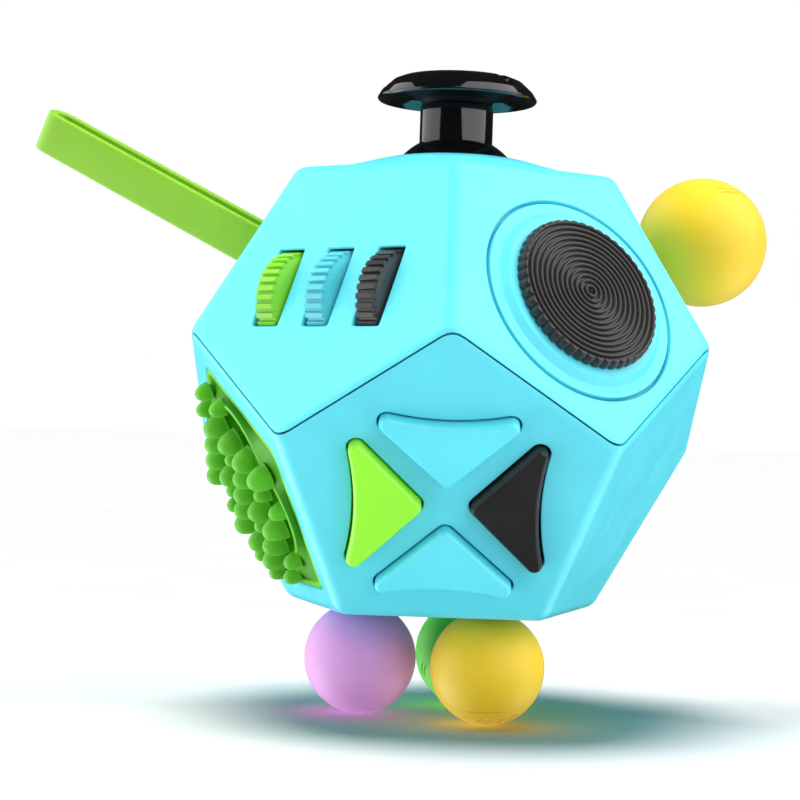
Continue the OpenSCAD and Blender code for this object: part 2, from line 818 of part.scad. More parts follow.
module slider_track() color("#2B2B2B") on_lower(slider_az) difference() {
    union() {
        plate(-2.6, -0.6) pill(slider_w);
        plate(-2.6, -wall) pill(slider_w + [2, 2]);
    }
    plate(-4, 1) pill(slider_slot);
}

module slider_knob() color("#E8CE33") on_lower(slider_az) {
    bar(slider_knob_w / 2, -0.3, 2.2);
    plate(-3.8, -0.3) pill([slider_slot.y + 1.4, slider_slot.y - 0.4]);
}

module slider_clip() color("silver") on_lower(slider_az) difference() {
    bar(slider_knob_w / 2, -3.5, -2.6 - gap);
    plate(-4, 0) pill([slider_slot.y + 1.4, slider_slot.y - 0.4]);
}

// ---------- output ----------

upper_shell();
lower_shell();
shell_screws();
joystick_cap();
joystick_stem();
joystick_dome();
joystick_gimbal_ring();
joystick_gimbal_pins();
joystick_base();
joystick_base_pins();
joystick_spring();
gear_wheel_green();
gear_wheel_cyan();
gear_wheel_black();
gear_axle();
gear_bracket();
gear_click_spring();
gear_bracket_screws();
dial_disc();
dial_bezel();
dial_shaft();
dial_clip();
button_up();
button_down();
button_left();
button_right();
button_mat();
button_back_plate();
button_plate_screws();
spike_frame();
spike_pad();
spike_retainer();
foot_ball_pink();
foot_ball_yellow();
foot_ball_green();
foot_pin_pink();
foot_pin_yellow();
foot_pin_green();
foot_clip_pink();
foot_clip_yellow();
foot_clip_green();
side_ball();
side_ball_stem();
side_ball_bush();
side_ball_clip();
strap_loop();
strap_pin();
rocker_key();
rocker_frame();
rocker_pin();
slider_knob();
slider_track();
slider_clip();
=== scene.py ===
"""Looks of a twelve-sided fidget toy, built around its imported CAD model.

Pieces are modelled in millimetres and then set into the frame, which is in metres. A face is
named by the azimuth of its outward normal. Its own frame has x to the right and y up as seen
from outside, and z out of the case.
"""

import math

import bmesh
import bpy
from mathutils import Matrix, Vector


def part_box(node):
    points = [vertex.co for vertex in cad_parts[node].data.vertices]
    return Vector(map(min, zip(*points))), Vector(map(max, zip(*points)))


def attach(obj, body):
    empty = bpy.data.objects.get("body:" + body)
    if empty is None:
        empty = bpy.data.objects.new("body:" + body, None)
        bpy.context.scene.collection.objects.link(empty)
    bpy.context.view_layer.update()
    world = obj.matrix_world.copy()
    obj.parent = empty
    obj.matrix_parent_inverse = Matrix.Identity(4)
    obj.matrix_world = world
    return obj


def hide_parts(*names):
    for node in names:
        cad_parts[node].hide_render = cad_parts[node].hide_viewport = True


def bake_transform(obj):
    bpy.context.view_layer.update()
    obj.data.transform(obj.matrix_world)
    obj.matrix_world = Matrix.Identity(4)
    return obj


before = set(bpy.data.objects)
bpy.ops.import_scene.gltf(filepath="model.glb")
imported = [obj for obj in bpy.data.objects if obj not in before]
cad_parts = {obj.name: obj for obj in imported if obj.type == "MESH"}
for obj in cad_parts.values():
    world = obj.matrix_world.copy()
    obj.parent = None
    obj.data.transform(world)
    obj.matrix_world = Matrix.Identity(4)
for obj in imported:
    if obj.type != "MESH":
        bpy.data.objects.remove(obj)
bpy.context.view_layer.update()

MM = 0.001
UP = Vector((0, 0, 1))

# ---------- sizes, in millimetres ----------

# Case
EDGE = 23.5
WALL = 1.8
FILLET = 2.0  # radius of the case's rounded edges
GOLDEN = (1 + math.sqrt(5)) / 2
LEAN = math.degrees(math.atan(1 / 2))  # elevation of the upper faces' normals
FACE = EDGE * GOLDEN**2 / (2 * math.sqrt(3 - GOLDEN))  # centre to a face
CORNER = EDGE / (2 * math.sin(math.radians(36)))  # middle of a face to its corner
RING = CORNER * GOLDEN  # the ten corners of the middle ring
RING_Z = CORNER * math.cos(math.radians(72))
COLLAR_H = 2
CASE_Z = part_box("upper_shell")[1].z / MM - COLLAR_H - FACE
SEAM_GAP = 0.26
SEAM_BEND = 1.6  # how far from a corner the seam starts to turn
LIP = 0.22  # rounding of the openings' edges

# Which control is on which face
GEAR_AZ, DIAL_AZ, SIDE_AZ, ROCKER_AZ, STRAP_AZ = -126, -54, 18, 90, 162
KEY_AZ, SPIKE_AZ, DIMPLE_AZ, SLIDER_AZ = -90, -162, 54, 126

# Posts and feet
POST_AZ = (6, 126, -110)
POST_RING = 12.2
POST_R = 2.6
POST_SPLIT = -12  # where the halves' posts meet, from the middle of the case
SCREW_HEAD = 2.1
SCREW_SINK = 1.6
FOOT_RING = 9.6
FOOT_R = 6.75
FOOT_DROP = 6.35
FOOT_DISH = 0.35
FOOT_PIN = 1.3

# Joystick
PIVOT_DROP = 3.7
PIVOT_Z = CASE_Z + FACE - PIVOT_DROP
DOME_R = 8.9
OPENING_R = 9.0
CAP_R = 9.75
CAP_Z = CASE_Z + FACE + 9.6
STEM_R = 4.45

# Gear wheels
GEAR_R = 5.9
GEAR_W = 3.1
GEAR_PITCH = 7.25
GEAR_RIBS = 34
GEAR_PLACE = (-0.3, -0.65, -3.7)
GEAR_SLOT = 10.2
GEAR_ROOM = 0.27

# Dial
DIAL_X = 0.5
DIAL_Y = -1.2
DIAL_R = 9.4
DIAL_TOP = 2.1
DIAL_BASE = 0.75
DIAL_BOSS = 0.7
BEZEL_R = 12.7
BEZEL_BODY = 11.15  # radius of the bezel's part behind the face
SCALLOPS = 48
GROOVE_PITCH = 0.68
RIDGES = 13

# Direction pad
KEY_Y = -1.45
KEY_TIP = 2.75  # middle of the pad to a button's tip
KEY_REACH = 11  # middle of the pad to a button's far corners
KEY_HALF = 7.7  # half of the width across those corners
KEY_CORNER = 0.9  # radius of the corners
KEY_HOLLOW = 31  # radius of the hollow far side
KEY_RISE = 1.5
KEY_GAP = 0.25
KEY_FLANGE = 0.4  # how far the rim behind the case stands out
KEY_STEM = 7.6  # middle of the pad to a button's stem

# Spike pad
WINDOW = CORNER * 0.79 * math.cos(math.radians(36))  # middle of the window to its side
WINDOW_Y = -0.5
WINDOW_SHARP = 30  # sharpness of the window's corners
BOWL_R = 10.35
BOWL_BOW = 1.8  # how far the bowl's lip bows towards the corners
FRAME_BACK = 3
FRAME_T = 0.8
SPIKE_PITCH = 4.3
SPIKE_COLUMN = SPIKE_PITCH * math.sin(math.radians(60)) * 0.95
BIG_SPIKE = (1.6, 3.3)  # radius, height above the face
SMALL_SPIKE = (1.12, 2.5)

# Side ball
SIDE_R = 8.1
SIDE_Y = 3.1
SIDE_RISE = 12.6
BUSH_R = 2.6

# Strap
STRAP_Y = 4.5
STRAP_W = 5.2
STRAP_T = 1.2
STRAP_IN = 1.1  # inner radius of the folds
STRAP_REACH = 38.8
STRAP_DEPTH = 2
STRAP_SLOT = 8
STRAP_TWIST = -9  # how far the band turns about its length, in degrees

# Rocker and slider
ROCKER = (8.4, 14.4)
ROCKER_FRAME = (11.6, 17.6)
SLIDER = (19, 8.6)
SLIDER_SLOT = (14.2, 3)
SLIDER_KNOB = 5.6

# ---------- frames ----------


def turned(az, el):
    return Matrix.Rotation(math.radians(az + 90), 4, "Z") @ Matrix.Rotation(math.radians(90 - el), 4, "X")


def on_face(az, el, x, y, z):
    centre = Matrix.Translation((0, 0, CASE_Z))
    return centre @ turned(az, el) @ Matrix.Translation((x, y, FACE + z))


def upper(az, x=0, y=0, z=0):
    return on_face(az, LEAN, x, y, z)


def lower(az, x=0, y=0, z=0):
    return on_face(az, -LEAN, x, y, z)


def at(x, y, z):
    return Matrix.Translation((x, y, z))


def around(az, radius, z):
    a = math.radians(az)
    return at(radius * math.cos(a), radius * math.sin(a), z)


# ---------- outlines ----------


def rounded(corners, radius, steps=4, closed=True):
    """The polyline with an arc at each corner. A corner may carry its own radius as a third number."""
    out = []
    last = len(corners) - 1
    for i, corner in enumerate(corners):
        p = Vector(corner[:2])
        r = corner[2] if len(corner) > 2 else radius
        if r == 0 or (not closed and i in (0, last)):
            out.append(p)
            continue
        back = (Vector(corners[i - 1][:2]) - p).normalized()
        ahead = (Vector(corners[(i + 1) % len(corners)][:2]) - p).normalized()
        half = back.angle(ahead) / 2
        centre = p + (back + ahead).normalized() * (r / math.sin(half))
        first = p + back * (r / math.tan(half)) - centre
        final = p + ahead * (r / math.tan(half)) - centre
        start = math.atan2(first.y, first.x)
        sweep = math.remainder(math.atan2(final.y, final.x) - start, 2 * math.pi)
        for k in range(steps + 1):
            a = start + sweep * k / steps
            out.append(centre + Vector((math.cos(a), math.sin(a))) * r)
    return out


def grown(outline, distance):
    """A counter-clockwise outline moved outwards."""
    out = []
    for i, p in enumerate(outline):
        before = (p - outline[i - 1]).normalized()
        after = (outline[(i + 1) % len(outline)] - p).normalized()
        middle = Vector((before.y + after.y, -before.x - after.x)).normalized()
        out.append(p + middle * (distance / max(0.3, middle.dot(Vector((after.y, -after.x))))))
    return out


def rectangle(width, height, radius=0.25, steps=3):
    x, y = width / 2, height / 2
    return rounded([(-x, -y), (x, -y), (x, y), (-x, y)], radius, steps)


def pill(width, height, steps=12):
    return rectangle(width, height, height / 2 - 0.001, steps)


def soft_pentagon(reach, sharpness, count=200):
    """A pentagon with its tip up. Its corners get rounder and its sides fuller as sharpness falls."""
    out = []
    for i in range(count):
        a = 2 * math.pi * i / count
        pull = sum(max(0, math.cos(a - math.radians(126 + 72 * k))) ** sharpness for k in range(5))
        r = reach / pull ** (1 / sharpness)
        out.append(Vector((r * math.cos(a), r * math.sin(a))))
    return out


def key_outline():
    """A button that points down at the pad's middle, with a hollow far side."""
    tip = Vector((0, KEY_TIP + KEY_CORNER))
    far = Vector((KEY_HALF - KEY_CORNER, KEY_REACH - KEY_CORNER))
    slope = math.atan2(far.y - tip.y, far.x)
    reach = KEY_HOLLOW + KEY_CORNER
    hub = Vector((0, far.y + math.sqrt(reach**2 - far.x**2)))
    bend = math.atan2(hub.y - far.y, -far.x)
    quarter = math.pi / 2

    def arc(centre, r, start, end, steps):
        angles = [start + (end - start) * k / steps for k in range(steps + 1)]
        return [centre + Vector((math.cos(a), math.sin(a))) * r for a in angles]

    return (arc(tip, KEY_CORNER, -quarter - slope, slope - quarter, 8)
            + arc(far, KEY_CORNER, slope - quarter, bend, 10)
            + arc(hub, KEY_HOLLOW, bend - math.pi, -bend, 16)[1:-1]
            + arc(Vector((-far.x, far.y)), KEY_CORNER, math.pi - bend, 3 * quarter - slope, 10))


# ---------- meshes ----------


def linked(name, data):
    obj = bpy.data.objects.new(name, data)
    bpy.context.scene.collection.objects.link(obj)
    return obj


def from_bmesh(name, bm):
    mesh = bpy.data.meshes.new(name)
    bm.to_mesh(mesh)
    bm.free()
    return linked(name, mesh)


def solid(name, points, faces):
    bm = bmesh.new()
    verts = [bm.verts.new(p) for p in points]
    for face in faces:
        kept = list(dict.fromkeys(face))
        if len(kept) > 2:
            bm.faces.new([verts[i] for i in kept])
    bmesh.ops.recalc_face_normals(bm, faces=bm.faces)
    return from_bmesh(name, bm)


def band(lower_row, upper_row):
    count = len(lower_row)
    return [(lower_row[i], lower_row[(i + 1) % count], upper_row[(i + 1) % count], upper_row[i])
            for i in range(count)]


def loft(name, rings, closed=False):
    """Joins rings of points. The ends get flat caps, or with closed the last ring joins the first."""
    count = len(rings[0])
    rows = [list(range(k * count, (k + 1) * count)) for k in range(len(rings))]
    faces = [f for a, b in zip(rows, rows[1:]) for f in band(a, b)]
    faces += band(rows[-1], rows[0]) if closed else [rows[0], rows[-1]]
    return solid(name, [p for ring in rings for p in ring], faces)


def level(outline, z):
    return [(p.x, p.y, z) for p in outline]


def lathe(name, profile, steps=96, shape=None):
    """Turns an outline of (radius, height) about z. shape(angle, r, z) may move each point."""
    points, rows = [], []
    for r, z in profile:
        if r < 1e-6:
            rows.append([len(points)] * steps)
            points.append((0, 0, z))
            continue
        row = []
        for i in range(steps):
            a = 2 * math.pi * i / steps
            pr, pz = shape(a, r, z) if shape else (r, z)
            row.append(len(points))
            points.append((pr * math.cos(a), pr * math.sin(a), pz))
        rows.append(row)
    faces = [f for a, b in zip(rows, rows[1:]) for f in band(a, b)]
    if profile[0][0] > 1e-6:
        faces += band(rows[-1], rows[0])
    return solid(name, points, faces)


def bar(radius, z0, z1, steps=48, name="bar"):
    return lathe(name, [(0, z0), (radius, z0), (radius, z1), (0, z1)], steps)


def ball(radius, steps=96):
    rows = steps // 2
    angles = [math.pi * k / rows - math.pi / 2 for k in range(rows + 1)]
    profile = [(radius * math.cos(a), radius * math.sin(a)) for a in angles]
    profile[0], profile[-1] = (0, -radius), (0, radius)
    return lathe("ball", profile, steps)


def pushed(obj, matrix):
    obj.data.transform(matrix)
    return obj


def boolean(target, tools, operation):
    """Applies exact booleans one after another and removes the tools."""
    for tool in tools:
        modifier = target.modifiers.new("boolean", "BOOLEAN")
        modifier.operation = operation
        modifier.solver = "EXACT"
        modifier.object = tool
        graph = bpy.context.evaluated_depsgraph_get()
        mesh = bpy.data.meshes.new_from_object(target.evaluated_get(graph))
        target.modifiers.clear()
        target.data = mesh
        bpy.data.objects.remove(tool)
    return target


def cut(target, *tools):
    return boolean(target, tools, "DIFFERENCE")


def fuse(target, *tools):
    return boolean(target, tools, "UNION")


def joined(name, parts):
    """One mesh out of several, which stay separate shells."""
    bm = bmesh.new()
    for part in parts:
        bm.from_mesh(part.data)
        bpy.data.objects.remove(part)
    return from_bmesh(name, bm)


def opening(outline, depth, lip=LIP, steps=3):
    """The cutter of an opening whose edge rolls over by lip at z 0."""
    rings = [level(outline, -depth)]
    for k in range(steps + 1):
        a = math.radians(75 * k / steps)
        rings.append(level(grown(outline, lip * (1 - math.cos(a))), lip * (math.sin(a) - 1)))
    rings.append(level(grown(outline, lip + 2), 0.55))
    return loft("opening", rings)


def slab(outline, z0, z1, fillet, steps=4, base=0.0):
    """A plate whose upper edge is rounded, and whose lower one too where base is given."""
    rings = []
    for k in range(steps + 1 if base else 0):
        a = math.pi / 2 * (1 - k / steps)
        rings.append(level(grown(outline, -base * (1 - math.cos(a))), z0 + base * (1 - math.sin(a))))
    rings = rings or [level(outline, z0)]
    for k in range(steps + 1):
        a = math.pi / 2 * k / steps
        rings.append(level(grown(outline, -fillet * (1 - math.cos(a))), z1 - fillet * (1 - math.sin(a))))
    return loft("slab", rings)


def shade(obj, angle=32, even=False):
    """Smooth shading with sharp edges above the angle. even keeps large flat faces flat."""
    bm = bmesh.new()
    bm.from_mesh(obj.data)
    for face in bm.faces:
        face.smooth = True
    for edge in bm.edges:
        edge.smooth = edge.calc_face_angle(math.pi) < math.radians(angle)
    bm.to_mesh(obj.data)
    bm.free()
    if even:
        modifier = obj.modifiers.new("normals", "WEIGHTED_NORMAL")
        modifier.keep_sharp = True
        modifier.weight = 100
    return obj


def settle(obj, name, body, material, place=Matrix(), replaces=(), angle=32, even=False):
    """Sets a finished piece into the frame, on its body."""
    pushed(obj, Matrix.Scale(MM, 4) @ place)
    obj.name = name
    shade(obj, angle, even)
    obj.data.materials.clear()
    obj.data.materials.append(material)
    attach(obj, body)
    if replaces:
        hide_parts(*replaces)
    return obj


# ---------- materials ----------


class Nodes:
    """Short hand for a material's node tree."""

    def __init__(self, name):
        self.material = bpy.data.materials.new(name)
        self.material.use_nodes = True
        self.tree = self.material.node_tree
        self.shader = next(n for n in self.tree.nodes if n.type == "BSDF_PRINCIPLED")
        self.place = self.add("ShaderNodeTexCoord").outputs["Object"]

    def add(self, kind, links=(), **values):
        node = self.tree.nodes.new(kind)
        for key, value in values.items():
            setattr(node, key, value)
        for socket, source in dict(links).items():
            if isinstance(source, bpy.types.NodeSocket):
                self.tree.links.new(source, node.inputs[socket])
            else:
                node.inputs[socket].default_value = source
        return node

    def noise(self, scale, detail=2.0, stretch=None):
        place = self.place
        if stretch:
            place = self.add("ShaderNodeMapping", {"Vector": place, "Scale": stretch}).outputs["Vector"]
        links = {"Vector": place, "Scale": scale, "Detail": detail}
        return self.add("ShaderNodeTexNoise", links).outputs["Fac"]

    def spread(self, source, low, high):
        """Maps a noise onto a range of values."""
        links = {"Value": source, "From Min": 0.3, "From Max": 0.7, "To Min": low, "To Max": high}
        return self.add("ShaderNodeMapRange", links).outputs["Result"]

    def mix(self, factor, first, second):
        node = self.add("ShaderNodeMix", data_type="RGBA")
        colours = [s for s in node.inputs if s.type == "RGBA"]
        self.tree.links.new(factor, node.inputs["Factor"])
        colours[0].default_value = (*first, 1)
        colours[1].default_value = (*second, 1)
        return next(s for s in node.outputs if s.type == "RGBA")

    def bump(self, height, distance, strength=0.5, before=None):
        links = {"Height": height, "Distance": distance * MM, "Strength": strength}
        if before:
            links["Normal"] = before
        return self.add("ShaderNodeBump", links).outputs["Normal"]

    def set(self, **values):
        for key, value in values.items():
            socket = self.shader.inputs[key.replace("_", " ")]
            if isinstance(value, bpy.types.NodeSocket):
                self.tree.links.new(value, socket)
            else:
                socket.default_value = value
        return self.material


def shaded(colour, amount):
    return tuple(min(1.0, c * amount) for c in colour)


def moulded(name, colour, rough=0.36, grain=0.012, vary=0.05, shine=0.5):
    """Satin injection-moulded plastic: a fine spark-eroded grain and slight flow marks."""
    n = Nodes(name)
    flow = n.noise(90, 3)
    fine = n.noise(5200, 2)
    smudge = n.noise(260, 3)
    return n.set(
        Base_Color=n.mix(n.spread(flow, 0, 1), shaded(colour, 1 - vary), shaded(colour, 1 + vary / 2)),
        Roughness=n.spread(smudge, rough - 0.04, rough + 0.05),
        Normal=n.bump(fine, grain, 0.35),
        IOR=1.5,
        Specular_IOR_Level=shine,
    )


def glossy(name, colour, rough=0.06):
    """Polished plastic with faint finger haze."""
    n = Nodes(name)
    haze = n.noise(320, 4)
    wave = n.noise(120, 1)
    return n.set(
        Base_Color=n.mix(n.spread(haze, 0, 1), shaded(colour, 0.8), shaded(colour, 1.3)),
        Roughness=n.spread(haze, rough, rough + 0.06),
        Normal=n.bump(wave, 0.03, 0.08),
        IOR=1.5,
        Coat_Weight=0.3,
        Coat_Roughness=0.04,
    )


def silicone(name, colour, rough=0.46, depth=0.9):
    """Soft rubber: light goes a little way in, and a powdery skin catches it at the edges."""
    n = Nodes(name)
    cloud = n.noise(140, 3)
    pores = n.noise(3600, 3)
    swell = n.noise(420, 2)
    return n.set(
        Base_Color=n.mix(n.spread(cloud, 0, 1), shaded(colour, 0.95), shaded(colour, 1.04)),
        Roughness=n.spread(cloud, rough - 0.04, rough + 0.06),
        Normal=n.bump(pores, 0.012, 0.3, n.bump(swell, 0.05, 0.08)),
        IOR=1.42,
        Subsurface_Weight=0.12,
        Subsurface_Radius=(1.0, 1.0, 0.6),
        Subsurface_Scale=depth * MM,
        Sheen_Weight=0.12,
        Sheen_Roughness=0.45,
    )


def metal(name, colour, rough=0.26, stretch=(40, 40, 900)):
    """Turned steel: fine lines around the part and a little uneven polish."""
    n = Nodes(name)
    lines = n.noise(10, 2, stretch)
    cloud = n.noise(500, 3)
    return n.set(
        Base_Color=n.mix(n.spread(cloud, 0, 1), shaded(colour, 0.88), colour),
        Roughness=n.spread(lines, rough - 0.08, rough + 0.12),
        Normal=n.bump(lines, 0.01, 0.25),
        Metallic=1.0,
    )


CYAN = (0.10, 0.66, 0.79)
LIME = (0.30, 0.88, 0.035)

case_cyan = moulded("case_cyan", CYAN)
key_cyan = moulded("key_cyan", (0.11, 0.71, 0.84), 0.32)
lime = moulded("lime_plastic", LIME, 0.32)
# The wheels' lime and cyan are darker copies of the buttons' lime and cyan: painted shade on the wheels in
# their slots.
wheel_lime_painted_shade = moulded("wheel_lime_painted_shade", (0.22, 0.62, 0.022), 0.32)
wheel_cyan_painted_shade = moulded("wheel_cyan_painted_shade", (0.085, 0.54, 0.62), 0.32)
# A near-black, almost unshiny copy of the black plastic for the underside below the joystick's cap: painted
# shade under the cap.
neck_black_painted_shade = moulded("neck_black_painted_shade", (0.004, 0.004, 0.004), 0.5, vary=0.2, shine=0.1)
black = moulded("black_plastic", (0.02, 0.0195, 0.0195), 0.34, vary=0.2, shine=0.3)
# The knurled black is lifted to a grey-brown. This is partly the ridges' own tone and partly a painted
# highlight for the light on the dial's ridges.
knurled = moulded("knurled_black", (0.034, 0.031, 0.031), 0.33, vary=0.2, shine=0.45)
stick_black = glossy("joystick_black", (0.003, 0.003, 0.003))
inner_grey = moulded("inner_plastic", (0.045, 0.05, 0.055), 0.5, 0.03)
rubber_white = silicone("rubber_white", (0.62, 0.63, 0.62))
spike_green = silicone("spike_green", (0.095, 0.47, 0.008), 0.44)
# The bowl's slope takes a darker green than the spike silicone: painted shade on the slope down into the
# window.
bowl_green_painted_shade = moulded("bowl_green_painted_shade", (0.055, 0.30, 0.01), 0.5, shine=0.25)
# A darker copy of the lime. On the liner band it is painted shade. On the bowl's lip bead it is a painted
# highlight line, lighter than the bowl.
frame_lime = moulded("frame_lime", (0.16, 0.58, 0.025), 0.34)
pink = silicone("ball_pink", (0.72, 0.34, 0.74))
yellow = silicone("ball_yellow", (0.78, 0.53, 0.018))
green = silicone("ball_green", (0.12, 0.68, 0.045))
strap_green = silicone("strap_lime", (0.22, 0.49, 0.02), 0.42)
knob_yellow = moulded("knob_yellow", (0.80, 0.60, 0.035), 0.34)
steel = metal("steel", (0.60, 0.60, 0.62))

# ---------- case ----------


def dodecahedron(distance, fillet=0.0):
    """A regular dodecahedron that stands on a face, with rounded edges."""
    scale = distance / FACE
    bm = bmesh.new()
    for k in range(10):
        a = math.radians(36 * k - 90)
        side = 1 if k % 2 == 0 else -1
        for radius, z in ((CORNER, FACE), (RING, RING_Z)):
            bm.verts.new(Vector((radius * math.cos(a), radius * math.sin(a), side * z)) * scale)
    bmesh.ops.convex_hull(bm, input=bm.verts)
    bmesh.ops.dissolve_limit(bm, angle_limit=0.01, verts=bm.verts, edges=bm.edges)
    if fillet:
        offset = fillet * math.tan(math.radians(63.435 / 2))
        bmesh.ops.bevel(bm, geom=bm.edges, offset=offset, offset_type="OFFSET", segments=7,
                        profile=0.5, affect="EDGES")
    return pushed(from_bmesh("dodecahedron", bm), at(0, 0, CASE_Z))


def under_seam(rise):
    """The space under the zigzag seam, whose corners are rounded."""
    spread = 2  # how far past the case it reaches
    zigzag = []
    for k in range(10):
        a = math.radians(36 * k - 90)
        side = 1 if k % 2 == 0 else -1
        zigzag.append(Vector((RING * math.cos(a), RING * math.sin(a), side * RING_Z)))
    rim = []
    for i, p in enumerate(zigzag):
        first = p + (zigzag[i - 1] - p).normalized() * SEAM_BEND
        final = p + (zigzag[(i + 1) % 10] - p).normalized() * SEAM_BEND
        for t in (0, 0.25, 0.5, 0.75, 1):
            rim.append((first * (1 - t) ** 2 + p * 2 * t * (1 - t) + final * t**2) * spread)
    count = len(rim)
    foot = [Vector((p.x, p.y, -4 * EDGE)) for p in rim]
    around_rim = range(count)
    faces = [(0, 1 + i, 1 + (i + 1) % count) for i in around_rim]
    faces += [(1 + i, 1 + (i + 1) % count, 1 + count + (i + 1) % count, 1 + count + i) for i in around_rim]
    faces.append([1 + count + i for i in around_rim])
    return pushed(solid("under_seam", [Vector((0, 0, 0)), *rim, *foot], faces), at(0, 0, CASE_Z + rise))


def collar():
    """Raised ring around the joystick, which flows into the top face."""
    flank = [(15.3, -0.05), (14.6, 0.2), (13.6, 0.48), (12.4, 0.8), (11, 1.2), (9.6, 1.6), (8.5, 1.85),
             (7.9, 1.96), (7.3, COLLAR_H)]
    profile = [(0, -WALL / 2), (15.3, -WALL / 2), *flank, (0, COLLAR_H)]
    return pushed(lathe("collar", profile, 128), at(0, 0, CASE_Z + FACE))


def joystick_opening():
    top = COLLAR_H + PIVOT_DROP
    edge = math.acos((top - 0.2) / OPENING_R)
    bottom = math.pi * 0.62
    arc = [bottom + (edge - bottom) * k / 24 for k in range(25)]
    profile = [(OPENING_R * math.sin(a), OPENING_R * math.cos(a)) for a in arc]
    mouth = profile[-1][0]
    profile = [(0, profile[0][1]), *profile, (mouth + 0.06, top - 0.05), (mouth + 0.6, top + 0.2),
               (0, top + 0.2)]
    return pushed(lathe("opening", profile, 128), at(0, 0, PIVOT_Z))


def gear_slot(k):
    """The opening for one wheel: long enough for the wheel's circle at each depth, with a rounded edge."""
    x, y, z = GEAR_PLACE
    reach = GEAR_R + GEAR_ROOM
    width = GEAR_W + 0.6
    rings = []
    for depth in (WALL + 0.6, 1.2, 0.6, LIP):
        length = max(GEAR_SLOT, 2 * math.sqrt(reach**2 - (z + depth) ** 2))
        rings.append(level(rectangle(width, length), -depth))
    mouth = rectangle(width, GEAR_SLOT)
    for a in (30, 55, 75):
        turn = math.radians(a)
        rings.append(level(grown(mouth, LIP * (1 - math.cos(turn))), LIP * (math.sin(turn) - 1)))
    rings.append(level(grown(mouth, LIP + 2), 0.55))
    return pushed(loft("slot", rings), upper(GEAR_AZ, x + (k - 1) * GEAR_PITCH, y))


def dial_seat():
    lip = 0.18
    profile = [(0, -WALL - 1), (BEZEL_BODY, -WALL - 1), (BEZEL_BODY, -1), (BEZEL_R + 0.12, -1),
               (BEZEL_R + 0.12, -lip), (BEZEL_R + 0.15, -0.08), (BEZEL_R + 0.22, -0.02),
               (BEZEL_R + 1.2, 0.3), (0, 0.3)]
    return pushed(lathe("seat", profile, 160), upper(DIAL_AZ, DIAL_X, DIAL_Y))


def shell_posts(z0, z1, radius=POST_R):
    return [pushed(bar(radius, z0, z1), around(az, POST_RING, CASE_Z)) for az in POST_AZ]


def make_upper_shell():
    shell = fuse(dodecahedron(FACE, FILLET), collar())
    cut(shell, dodecahedron(FACE - WALL), under_seam(SEAM_GAP / 2))
    fuse(shell, *shell_posts(POST_SPLIT, FACE - WALL / 2))
    wheel_slots = [gear_slot(k) for k in range(3)]
    bush_hole = pushed(bar(BUSH_R, -4, 1), upper(SIDE_AZ, 0, SIDE_Y))
    strap_slot = pushed(opening(rectangle(STRAP_SLOT, STRAP_W + 0.6, 0.8, 5), WALL + 1),
                        upper(STRAP_AZ, 0, STRAP_Y))
    rocker_window = pushed(opening(rectangle(ROCKER[0] + 1.8, ROCKER[1] + 1.8), WALL + 1), upper(ROCKER_AZ))
    cut(shell, joystick_opening(), *wheel_slots, dial_seat(), bush_hole, strap_slot, rocker_window)
    settle(shell, "upper_case", "case", case_cyan, replaces=["upper_shell"], even=True)


def dimple():
    """A shallow hollow for a thumb, with a soft rim."""
    radius, depth, rim = 30, 1.5, 0.8
    reach = math.sqrt(radius**2 - (radius - depth) ** 2)
    profile = [(0, -depth)]
    for k in range(1, 15):
        r = (reach - rim) * k / 14
        profile.append((r, radius - depth - math.sqrt(radius**2 - r**2)))
    profile += [(reach - 0.2, -0.12), (reach + 0.3, -0.03), (reach + 1.2, 0.02), (reach + 1.2, 0.6), (0, 0.6)]
    return pushed(lathe("dimple", profile, 128), lower(DIMPLE_AZ))


def key_place(k):
    """The buttons sit around the pad's middle, a quarter turn apart."""
    return lower(KEY_AZ, 0, KEY_Y) @ Matrix.Rotation(math.pi / 2 * k, 4, "Z")


def make_lower_shell():
    shell = cut(dodecahedron(FACE, FILLET), dodecahedron(FACE - WALL))
    boolean(shell, [under_seam(-SEAM_GAP / 2)], "INTERSECT")
    dimple_back = pushed(bar(10.6, -3.4, -WALL / 2), lower(DIMPLE_AZ))
    fuse(shell, *shell_posts(-FACE + WALL / 2, POST_SPLIT), dimple_back)
    keys = [pushed(opening(grown(key_outline(), KEY_GAP), WALL + 1, 0.15), key_place(k)) for k in range(4)]
    feet = []
    for az in foot_az():
        feet.append(pushed(ball(FOOT_R + FOOT_DISH), around(az, FOOT_RING, CASE_Z - FACE - FOOT_DROP)))
        feet.append(pushed(bar(FOOT_PIN + 0.05, -4, 1), around(az, FOOT_RING, CASE_Z - FACE + 3.9)))
    bore = [(0, -2), (SCREW_HEAD + 0.5, -2), (SCREW_HEAD + 0.5, -0.3), (SCREW_HEAD + 0.2, 0.25),
            (SCREW_HEAD + 0.2, SCREW_SINK), (0, SCREW_SINK)]
    screws = [pushed(lathe("bore", bore, 64), around(az, POST_RING, CASE_Z - FACE)) for az in POST_AZ]
    window = pushed(opening(soft_pentagon(WINDOW, WINDOW_SHARP), WALL + 1, 0.4), lower(SPIKE_AZ, 0, WINDOW_Y))
    slider_window = pushed(opening(pill(*SLIDER), WALL + 1), lower(SLIDER_AZ))
    cut(shell, *keys, window, dimple(), slider_window, *feet, *screws)
    settle(shell, "lower_case", "case", case_cyan, replaces=["lower_shell"], even=True)


def foot_az():
    """Azimuths of the foot balls, read from the frame."""
    out = []
    for colour in ("pink", "yellow", "green"):
        low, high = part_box(f"foot_ball_{colour}")
        middle = (low + high) / 2
        out.append(math.degrees(math.atan2(middle.y, middle.x)))
    return out


make_upper_shell()
make_lower_shell()

# ---------- joystick ----------

NOTCHES = (-44, -168, 76)
NOTCH_HALF = 0.55
NOTCH_DEPTH = 0.6


def cap_notch(a, r, z):
    """Three notches across the cap's raised ring."""
    near = min(abs(math.remainder(a - math.radians(n), 2 * math.pi)) * r for n in NOTCHES)
    if z > 0.9 and 6.2 < r < 9:
        z -= NOTCH_DEPTH * max(0, 1 - (near / NOTCH_HALF) ** 4)
    return r, z


